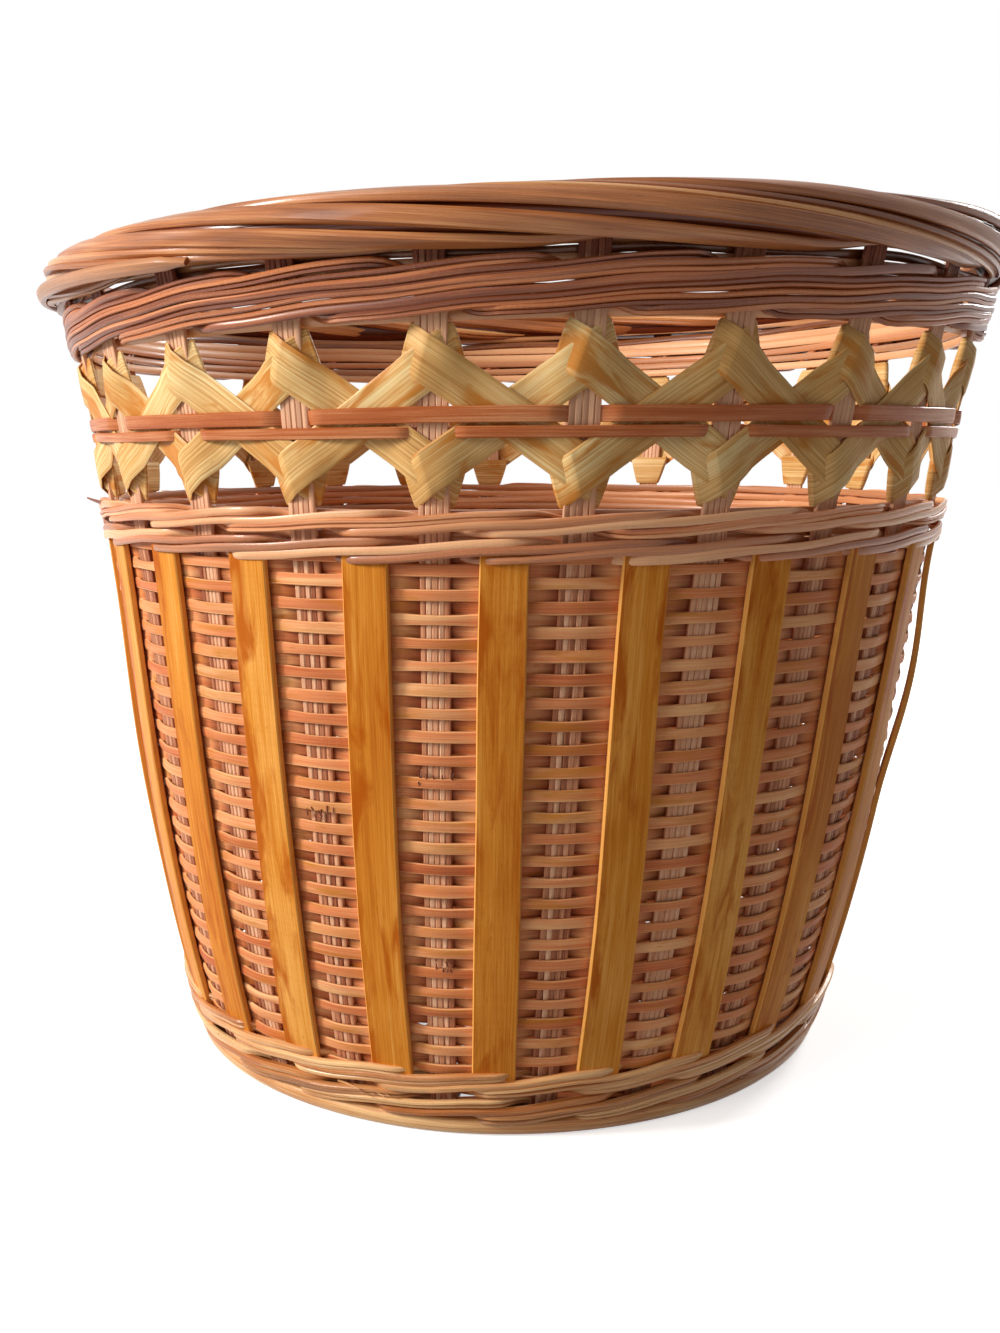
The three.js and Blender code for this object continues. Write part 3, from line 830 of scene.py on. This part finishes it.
RIBBON_WIDTH = 10.4 * MM
RIBBON_DEPTH = 0.5 * MM
RIBBON_HALF = RIBBON_WIDTH / 2
RIBBON_LOW, RIBBON_HIGH = levels("ribbon_first")
BAND_MIDDLE = (RIBBON_LOW + RIBBON_HIGH) / 2
BAND_RADIUS = wall(BAND_MIDDLE)
BAY_LENGTH = BAND_RADIUS * BAY
FOLD_NEAR = STAKE_WIDTH / 2 + 0.3 * MM
LEG_STEPS = 26
FOLD_STEPS = 7
FOLD_BULGE = 0.5 * MM


def ribbon_fold():
    """How far a fold's far end lies from the stake, so that legs just reach peak and trough."""
    climb = RIBBON_HIGH - RIBBON_LOW - RIBBON_WIDTH
    far = FOLD_NEAR
    for _ in range(20):
        slope = math.atan2(climb, BAY_LENGTH + FOLD_NEAR + far)
        far = FOLD_NEAR + RIBBON_WIDTH * math.tan(slope / 2)
    return far


FOLD_FAR = ribbon_fold()
IN_LAYER = 0.6 * MM
OUT_LAYER = 1.6 * MM
BACK_LAYER = -STAKE_DEPTH - 0.6 * MM
CREASE = 6.0 * MM
CREASE_BEFORE = 1 * MM
CREASE_AFTER = 2 * MM
LEAVES = (4.5 * MM, 11 * MM)
RETURNS = (11 * MM, 5 * MM)
FIRST_LAYER = -0.6 * MM
SECOND_LAYER = -1.5 * MM
FOLD_ROUND = 2.3 * MM
FOLD_ROUND_LENGTH = 3.9 * MM
FOLD_UNEVEN = 0.35 * MM
STEP_CLEAR = 0.008
RIBBON_CROWN = 0.2 * MM
RIBBON_SPOTS = (1.0, 0.9, 0.45, 0.0, -0.45, -0.9, -1.0)
RIBBON_BEVEL = 0.26 * MM


def ribbon(name, node, starts_low):
    """A zigzag ribbon, as stations across it: u runs round the wall, z up and w out of the wall."""
    top_u, top_z, low_u, low_z, top_w, low_w, face = [], [], [], [], [], [], []

    def station(bay, upper, lower, layers, turned):
        top_u.append(bay * BAY_LENGTH + upper[0])
        top_z.append(upper[1])
        low_u.append(bay * BAY_LENGTH + lower[0])
        low_z.append(lower[1])
        top_w.append(layers[0])
        low_w.append(layers[1])
        face.append(turned)

    def leg_layer(u, crease):
        """In front of a stake, over the leg arriving there, and between stakes in the middle."""
        off_leg = smooth(crease - CREASE_BEFORE, crease + CREASE_AFTER, u)
        over = (OUT_LAYER - IN_LAYER) * (1 - off_leg)
        leaving = middle + (IN_LAYER - middle) * (1 - smooth(*LEAVES, u))
        back = smooth(BAY_LENGTH - RETURNS[0], BAY_LENGTH - RETURNS[1], u)
        return over + leaving + (IN_LAYER - middle) * back

    def rounded(distance):
        """How far the ribbon falls back round the stake, for a distance from the fold."""
        return FOLD_ROUND * max(0.0, 1 - distance / FOLD_ROUND_LENGTH)

    def along_leg(edge, t, crease):
        """A point on one edge of a leg, at a share of its length, and how far it stands out."""
        (start_u, start_z), (end_u, end_z) = edge
        u = start_u + (end_u - start_u) * t
        layer = leg_layer(u, crease)
        layer -= rounded(u - start_u) + rounded(end_u - u)
        return (u, start_z + (end_z - start_z) * t), layer

    crease_at = FOLD_ROUND_LENGTH / (BAY_LENGTH + FOLD_FAR + FOLD_NEAR)
    steps = (1 - np.cos(np.linspace(0, math.pi, LEG_STEPS))) / 2
    steps = steps[np.abs(steps - crease_at) > STEP_CLEAR]
    steps = steps[np.abs(1 - steps - crease_at) > STEP_CLEAR]
    steps = np.sort(np.append(steps, (crease_at, 1 - crease_at)))
    jitter = rng.normal(0, FOLD_UNEVEN, BAYS)
    middle = FIRST_LAYER if starts_low else SECOND_LAYER
    peak = RIBBON_HIGH - RIBBON_HALF
    trough = RIBBON_LOW + RIBBON_HALF
    for bay in range(BAYS):
        rising = (bay % 2 == 0) == starts_low
        start, end = (trough, peak) if rising else (peak, trough)
        start += jitter[bay]
        end += jitter[(bay + 1) % BAYS]
        near_far = (FOLD_NEAR, FOLD_FAR)
        upper_end, lower_end = near_far if rising else near_far[::-1]
        upper = ((-lower_end, start + RIBBON_HALF), (BAY_LENGTH + upper_end, end + RIBBON_HALF))
        lower = ((-upper_end, start - RIBBON_HALF), (BAY_LENGTH + lower_end, end - RIBBON_HALF))
        upper_crease, lower_crease = (0.0, CREASE) if rising else (CREASE, 0.0)
        for t in steps:
            a, top_layer = along_leg(upper, t, upper_crease)
            b, low_layer = along_leg(lower, t, lower_crease)
            station(bay, a, b, (top_layer, low_layer), 0.0)

        # Round the stake: back past its far side, across behind it and out past its near side
        arriving, leaving = IN_LAYER - FOLD_ROUND, OUT_LAYER - FOLD_ROUND
        folds = [(1, arriving, BACK_LAYER, 0.0), (-1, BACK_LAYER, leaving, math.pi)]
        for side, from_layer, to_layer, first_turn in folds:
            for step in range(1, FOLD_STEPS):
                turned = math.pi * step / FOLD_STEPS
                layer = from_layer + (to_layer - from_layer) * (1 - math.cos(turned)) / 2
                bulge = FOLD_BULGE * math.sin(turned)
                a = (side * (upper_end + bulge), end + RIBBON_HALF)
                b = (side * (lower_end + bulge), end - RIBBON_HALF)
                station(bay + 1, a, b, (layer, layer), first_turn + turned)
            if side == 1:
                for share in (1.0, 0.0, -1.0):
                    a = (share * upper_end, end + RIBBON_HALF)
                    b = (share * lower_end, end - RIBBON_HALF)
                    station(bay + 1, a, b, (BACK_LAYER, BACK_LAYER), math.pi)

    top_u, top_z, low_u, low_z = map(np.array, (top_u, top_z, low_u, low_z))
    top_w, low_w, face = map(np.array, (top_w, low_w, face))
    rings = []
    outline = [(x, 1) for x in RIBBON_SPOTS[::-1]] + [(x, -1) for x in RIBBON_SPOTS]
    for x, y in outline:
        share = (1 + x) / 2
        u = low_u + (top_u - low_u) * share
        z = low_z + (top_z - low_z) * share
        w = low_w + (top_w - low_w) * share
        push = y * RIBBON_DEPTH / 2 + RIBBON_CROWN * (1 - x * x)
        push = push - RIBBON_BEVEL * (abs(x) == 1 and y == 1)
        u = u + push * np.sin(face)
        w = w + push * np.cos(face)
        rings.append(on_wall(FIRST_STAKE + u / BAND_RADIUS, w, z))
    rings = np.stack(rings, 1)
    across = np.array([(x * RIBBON_HALF, y * RIBBON_DEPTH / 2) for x, y in outline])
    around = np.linalg.norm(np.diff(np.vstack([across, across[:1]]), axis=0), axis=1)
    bundle = Bundle()
    bundle.loft(rings, np.concatenate([[0], np.cumsum(around)]), True, np.zeros(rings.shape[:2]))
    return bundle.piece(name, [node], MATERIALS["ribbon"], sharp=28)


ribbon("ribbon_first_folded", "ribbon_first", True)
ribbon("ribbon_second_folded", "ribbon_second", False)


# Middle weavers: over the ribbons' crossings, in front of every other stake and behind the rest

MIDDLE_FRONT = 0.9 * MM
MIDDLE_BACK = -STAKE_DEPTH - 0.7 * MM
MIDDLE_DEPTH = 0.7 * MM
MIDDLE_DIVES = (3.0 * MM, 5.8 * MM)


def middle_weaver(name, node, starts_in_front, share, drop):
    """A splint whose height is a share of its node's, lying a little lower."""
    bundle = Bundle()
    bottom, top = levels(node)
    bays, turn, angle = ring(16)
    behind_at = 1 if starts_in_front else 0
    from_stake = np.abs((bays - behind_at + 1) % 2 - 1) * BAY_LENGTH
    in_front = smooth(*MIDDLE_DIVES, from_stake)
    proud = MIDDLE_BACK + (MIDDLE_FRONT - MIDDLE_BACK) * in_front
    z = (bottom + top) / 2 - drop + wander(turn, 0.3 * MM, (2, 3, 5))
    z = z + per_stake(bays, 0.15 * MM)
    section = splint((top - bottom) * share, MIDDLE_DEPTH, 0.2 * MM, 0.15 * MM, 3)
    roll = per_stake(bays, 0.1)
    bundle.strand(on_wall(angle, proud, z), wall_outward(angle, z), section, True, roll=roll)
    return bundle.piece(name, [node], MATERIALS["weaver"])


middle_weaver("middle_weaver_upper_splint", "middle_weaver_upper", False, 0.88, 1.7 * MM)
middle_weaver("middle_weaver_lower_splint", "middle_weaver_lower", True, 0.75, 1.4 * MM)


# Border: splints laid round a roll at a long slant, from inside over the top and down the front

BORDER_MIDDLE = (BORDER_LOW + BORDER_HIGH) / 2
BORDER_REACH = (cad_high.x - cad_low.x) / 2
BORDER_DEPTH = 15 * MM
BORDER_CENTRE = BORDER_REACH - BORDER_DEPTH / 2
BORDER_STRANDS = 18
BORDER_SPLINT = 4.5 * MM
BORDER_THICK = 1.9 * MM
BORDER_EDGE = 0.6 * MM
BORDER_CROWN = 0.4 * MM
BORDER_SPAN = 9.6
BORDER_SPANS = (0.95, 1.06)
BORDER_WIDTHS = (0.9, 1.06)
BORDER_DEPTHS = (0.9, 1.1)
BORDER_SPLIT_SHARE = 0.4
BORDER_SUNK_MM = 0.7
BORDER_WAVE = 0.35 * MM
WRAP_FROM = math.radians(216)
WRAP_TO = math.radians(-108)
BORDER_TUCK = 3.0 * MM
CORE_SPACING = 45
CORE_INSET = 3.4 * MM
CORE_SIZE = (4.4 * MM, 2.6 * MM)


def around_roll(bays, lift, inset):
    """Points on the border's roll: lift is the angle round its section, from outward to up."""
    angle = FIRST_STAKE + bays * BAY
    radius = BORDER_CENTRE + (BORDER_DEPTH / 2 - inset) * np.cos(lift)
    z = BORDER_MIDDLE + ((BORDER_HIGH - BORDER_LOW) / 2 - inset) * np.sin(lift)
    return polar(radius, angle, z), polar(np.cos(lift), angle, np.sin(lift))


STRAY_FROM = math.radians(176)
STRAY_TO = math.radians(237)
STRAY_LOW = math.radians(-46)
STRAY_OUT = 1.0 * MM
STRAY_TUCK = 2.5 * MM


def stray_splint(bundle):
    """A splint's end that lies over the others, low on the roll's front at the left."""
    turn = np.linspace(0, 1, 40)
    bays = (STRAY_FROM + (STRAY_TO - STRAY_FROM) * turn - FIRST_STAKE) / BAY
    lift = STRAY_LOW * (0.2 + 0.8 * turn)
    inset = BORDER_THICK / 2 - STRAY_OUT + STRAY_TUCK * smooth(0.12, 0.0, turn)
    path, outward = around_roll(bays, lift, inset)
    section = splint(BORDER_SPLINT * 0.9, BORDER_THICK * 0.9, BORDER_EDGE, BORDER_CROWN, 3)
    taper = 1 - 0.65 * smooth(0.94, 1.0, turn)
    bundle.strand(path, outward, section, width=taper, dark=-0.25)


def border():
    bundle = Bundle()
    stray_splint(bundle)
    for i in range(BORDER_STRANDS):
        turn = np.linspace(0, 1, 90)
        start = i * BAYS / BORDER_STRANDS + rng.normal(0, 0.12)
        bays = start + BORDER_SPAN * rng.uniform(*BORDER_SPANS) * turn
        lift = WRAP_FROM + (WRAP_TO - WRAP_FROM) * turn + wander(turn, 0.08, (0.5, 1, 1.7))
        tucked = smooth(0.1, 0.0, turn) + smooth(0.9, 1.0, turn)
        sunk = abs(rng.normal(0, BORDER_SUNK_MM)) * MM
        inset = BORDER_THICK / 2 + sunk + BORDER_TUCK * tucked
        inset = inset + wander(turn, BORDER_WAVE, (1, 2, 3.3))
        taper = 1 - 0.4 * smooth(0.88, 1.0, turn) - 0.3 * smooth(0.1, 0.0, turn)
        pieces = 2 if rng.uniform() < BORDER_SPLIT_SHARE else 1
        for k in range(pieces):
            wide = BORDER_SPLINT / pieces * rng.uniform(*BORDER_WIDTHS)
            shift = (k - (pieces - 1) / 2) * BORDER_SPLINT / pieces / (BORDER_DEPTH / 2)
            path, outward = around_roll(bays, lift + shift, inset)
            deep = BORDER_THICK * rng.uniform(*BORDER_DEPTHS)
            section = splint(wide, deep, BORDER_EDGE, BORDER_CROWN, 3)
            roll = wander(turn, 0.16, (0.7, 1.3))
            bundle.strand(path, outward, section, width=taper, roll=roll)
    # The core strands are dark all through: painted shade for the gaps between the splints
    bays, turn, _ = ring(8)
    for degrees in range(0, 360, CORE_SPACING):
        lift = math.radians(degrees) + wander(turn, 0.15, (2, 3, 5))
        inset = CORE_INSET + wander(turn, 0.3 * MM, (3, 5, 7))
        path, outward = around_roll(bays, lift, inset)
        bundle.strand(path, outward, oval(*CORE_SIZE), True, dark=1.0)
    inward = INSIDE + 0.3 * MM
    # Painted light on the upper rods inside the border, painted shade on the lower ones
    inner_rods(bundle, BORDER_LOW + 4 * MM, BORDER_LOW + 10 * MM, 2, inward, -0.3)
    inner_rods(bundle, BORDER_LOW - 1 * MM, BORDER_LOW + 4 * MM, 2, inward, 0.35, 0.7 * MM)
    return bundle.piece("border_roll", ["border"], MATERIALS["border"])


border()


# The basket's floor: hoop, spokes and woven mat

FOOT_LIFT = 0.5 * MM
FOOT_HOOPS = 4
FOOT_CLEAR = 1.2 * MM
HOOP_SHARE = 0.94
BASE_EDGE = 0.4 * MM
SPOKE_WIDTH = 4.6 * MM
SPOKE_TAPER = 0.7
SPOKE_CLEAR = 0.3 * MM
SPOKE_STARTS = (2 * MM, 40 * MM, 22 * MM, 40 * MM)
MAT_RIB = (2.6 * MM, 0.7 * MM, 0.2 * MM)
MAT_ROW = (3.05 * MM, 0.7 * MM, 0.2 * MM, 0.1 * MM)
MAT_START = (2.8 * MM, 0.5 * MM, 0.2 * MM)
MAT_ROW_SWING = 0.85 * MM
MAT_START_SWING = 0.45 * MM
MAT_START_PITCH = 3.2 * MM
MAT_START_HALF = 11 * MM
MAT_START_STRIPS = 6
MAT_RIBS_FROM = 8 * MM
MAT_ROWS_FROM = 10 * MM
MAT_PITCH = 3.1 * MM
MAT_COARSE_TO = 30 * MM


def foot_ring():
    bundle = Bundle()
    low, high = levels("foot_ring")
    radii = np.linalg.norm(points_of("foot_ring")[:, :2], axis=1)
    inside, outside = radii.min(), radii.max() - FOOT_CLEAR
    pitch = (outside - inside) / FOOT_HOOPS
    _, _, angle = ring(4)
    for i in range(FOOT_HOOPS):
        radius = inside + (i + 0.5) * pitch
        z = (low + high) / 2
        section = splint(high - low - FOOT_LIFT, pitch * HOOP_SHARE, BASE_EDGE)
        bundle.strand(polar(radius, angle, z), wall_outward(angle, z), section, True)
    return bundle.piece("foot_ring_hoops", ["foot_ring"], MATERIALS["base"])


def spokes():
    bundle = Bundle()
    low, high = levels("base_spokes")
    reach = np.linalg.norm(points_of("base_spokes")[:, :2], axis=1).max() - SPOKE_CLEAR
    section = splint(SPOKE_WIDTH, high - low, BASE_EDGE)
    for i in range(BAYS):
        radius = np.linspace(SPOKE_STARTS[i % 4], reach, 12)
        path = polar(radius, FIRST_STAKE + i * BAY, (low + high) / 2)
        bundle.strand(path, UP, section, width=np.linspace(SPOKE_TAPER, 1, 12))
    return bundle.piece("base_spokes_split", ["base_spokes"], MATERIALS["base"])


def mat():
    """Ribs under rings of weavers, with a plain weave of strips in the middle."""
    bundle = Bundle()
    low, high = levels("base_mat")
    reach = np.linalg.norm(points_of("base_mat")[:, :2], axis=1).max()
    middle = (low + high) / 2
    for i in range(BAYS):
        radius = np.linspace(MAT_RIBS_FROM, reach - 1 * MM, 14)
        bundle.strand(polar(radius, FIRST_STAKE + i * BAY, middle), UP, splint(*MAT_RIB))
    rows = int((reach - MAT_ROWS_FROM) / MAT_PITCH)
    bays, _, angle = ring(8)
    for row in range(rows):
        radius = MAT_ROWS_FROM + (row + 0.5) * (reach - MAT_ROWS_FROM) / rows
        in_front = row % 2 == 0
        swing = bay_wave(bays, in_front, 2.2)
        if radius < MAT_COARSE_TO:
            swing = bay_wave(bays / 2 + 0.25, in_front, 1.0)
        path = polar(radius, angle, middle + MAT_ROW_SWING * swing)
        bundle.strand(path, UP, splint(*MAT_ROW), True)
    along = np.linspace(-MAT_START_HALF, MAT_START_HALF, 25)
    for i in range(MAT_START_STRIPS):
        across = np.full(25, (i - (MAT_START_STRIPS - 1) / 2) * MAT_START_PITCH)
        for crossing in (0, 1):
            swing = np.cos(math.pi * (along / MAT_START_PITCH + 0.5 + i + crossing))
            z = middle + MAT_START_SWING * swing
            x, y = (along, across) if crossing else (across, along)
            bundle.strand(np.stack([x, y, z], -1), UP, splint(*MAT_START))
    return bundle.piece("base_mat_woven", ["base_mat"], MATERIALS["weave"])


foot_ring()
spokes()
mat()


# Studio floor, light and camera

LIT_POINT = (0, 0, 0.12)
WARM = (1.0, 0.97, 0.92)
WHITE = (1.0, 1.0, 1.0)

# Each lamp: its name, place, size, power in watts and colour
LAMPS = (
    ("key", (-1.41, -0.48, 0.85), 0.4, 26, WARM),
    ("fill", (-1.12, -1.0, 0.85), 0.8, 8.5, WARM),
    ("back", (0.75, 0.75, 0.65), 0.35, 9, WHITE),
)


def facing(direction):
    """The turn that points a lamp or a camera in a direction."""
    return direction.to_track_quat("-Z", "Y").to_euler()


def lamp(name, place, size, power, tint):
    """A soft disk of light that faces the basket's middle."""
    data = bpy.data.lights.new(name, "AREA")
    data.shape = "DISK"
    data.size = size
    data.energy = power
    data.color = tint
    made = bpy.data.objects.new(name, data)
    made.location = place
    made.rotation_euler = facing(Vector(LIT_POINT) - Vector(place))
    bpy.context.scene.collection.objects.link(made)


def white_where_seen(tree, lit, seen):
    """One shader for what lights the basket, another for what camera, gloss and glass see."""
    nodes = tree.nodes
    paths = nodes.new("ShaderNodeLightPath")
    is_seen = paths.outputs["Is Camera Ray"]
    for ray in ("Is Glossy Ray", "Is Transmission Ray"):
        either = nodes.new("ShaderNodeMath")
        either.operation = "MAXIMUM"
        tree.links.new(is_seen, either.inputs[0])
        tree.links.new(paths.outputs[ray], either.inputs[1])
        is_seen = either.outputs[0]
    mixed = nodes.new("ShaderNodeMixShader")
    tree.links.new(is_seen, mixed.inputs[0])
    tree.links.new(lit, mixed.inputs[1])
    tree.links.new(seen, mixed.inputs[2])
    return mixed.outputs[0]


AMBIENT = 0.19
SKY = (1.0, 0.97, 0.93, 1.0)
GLOW_NEAR = 0.6
GLOW_FAR = 0.9
GLOW_FROM, GLOW_TO = 0.3, 1.5
FLOOR_BOUNCE = 0.35
FLOOR_SEEN = 0.82
FLOOR_HALF = 6.0


def make_world():
    """Soft light from all round, and white where the camera looks past the floor."""
    world = bpy.data.worlds.new("studio")
    bpy.context.scene.world = world
    world.use_nodes = True
    tree = world.node_tree
    tree.nodes.clear()
    soft = tree.nodes.new("ShaderNodeBackground")
    soft.inputs[0].default_value = SKY
    soft.inputs[1].default_value = AMBIENT
    white = tree.nodes.new("ShaderNodeBackground")
    white.inputs[0].default_value = grey(1.0)
    white.inputs[1].default_value = 1.0
    output = tree.nodes.new("ShaderNodeOutputWorld")
    shown = white_where_seen(tree, soft.outputs[0], white.outputs[0])
    tree.links.new(shown, output.inputs[0])


def make_floor():
    """A pale floor that keeps the basket's shadow and turns white away from it."""
    shader = Shader("studio_floor")
    bounce = shader.node("ShaderNodeBsdfDiffuse", {"Color": grey(FLOOR_BOUNCE)})
    matt = shader.node("ShaderNodeBsdfDiffuse", {"Color": grey(FLOOR_SEEN)})
    position = shader.node("ShaderNodeNewGeometry").outputs["Position"]
    length = shader.node("ShaderNodeVectorMath", {0: position}, operation="LENGTH")
    distance = length.outputs["Value"]
    strength = shader.spread(distance, GLOW_FROM, GLOW_TO, GLOW_NEAR, GLOW_FAR)
    glow = shader.node("ShaderNodeEmission", {"Color": grey(1.0), "Strength": strength})
    both = shader.node("ShaderNodeAddShader", {0: matt.outputs[0], 1: glow.outputs[0]})
    output = shader.node("ShaderNodeOutputMaterial")
    shown = white_where_seen(shader.tree, bounce.outputs[0], both.outputs[0])
    shader.tree.links.new(shown, output.inputs[0])
    half = FLOOR_HALF
    corners = [(-half, -half, 0), (half, -half, 0), (half, half, 0), (-half, half, 0)]
    mesh = bpy.data.meshes.new("studio_floor")
    mesh.from_pydata(corners, [], [(0, 1, 2, 3)])
    mesh.materials.append(shader.material)
    floor = bpy.data.objects.new("studio_floor", mesh)
    bpy.context.scene.collection.objects.link(floor)


CAMERA_PLACE = (0.0, -443.7 * MM, 184.9 * MM)
CAMERA_YAW = math.radians(-0.72)
CAMERA_PITCH = math.radians(-9.14)


def make_camera():
    """The photograph's viewing angle: close, level with the open band and tilted a little down.

    The lens is as long as the sensor is wide. In the photograph's upright frame the sensor's width
    lies along the height, so the lens is as long as the picture is high.
    """
    data = bpy.data.cameras.new("camera")
    data.sensor_width = 36.0
    data.lens = 36.0
    camera = bpy.data.objects.new("camera", data)
    camera.location = CAMERA_PLACE
    level = math.cos(CAMERA_PITCH)
    ahead = (math.sin(CAMERA_YAW) * level, math.cos(CAMERA_YAW) * level, math.sin(CAMERA_PITCH))
    camera.rotation_euler = facing(Vector(ahead))
    data.clip_start = 0.01
    bpy.context.scene.collection.objects.link(camera)
    bpy.context.scene.camera = camera


make_world()
make_floor()
for a_lamp in LAMPS:
    lamp(*a_lamp)
make_camera()
bpy.context.scene.view_settings.view_transform = "Standard"
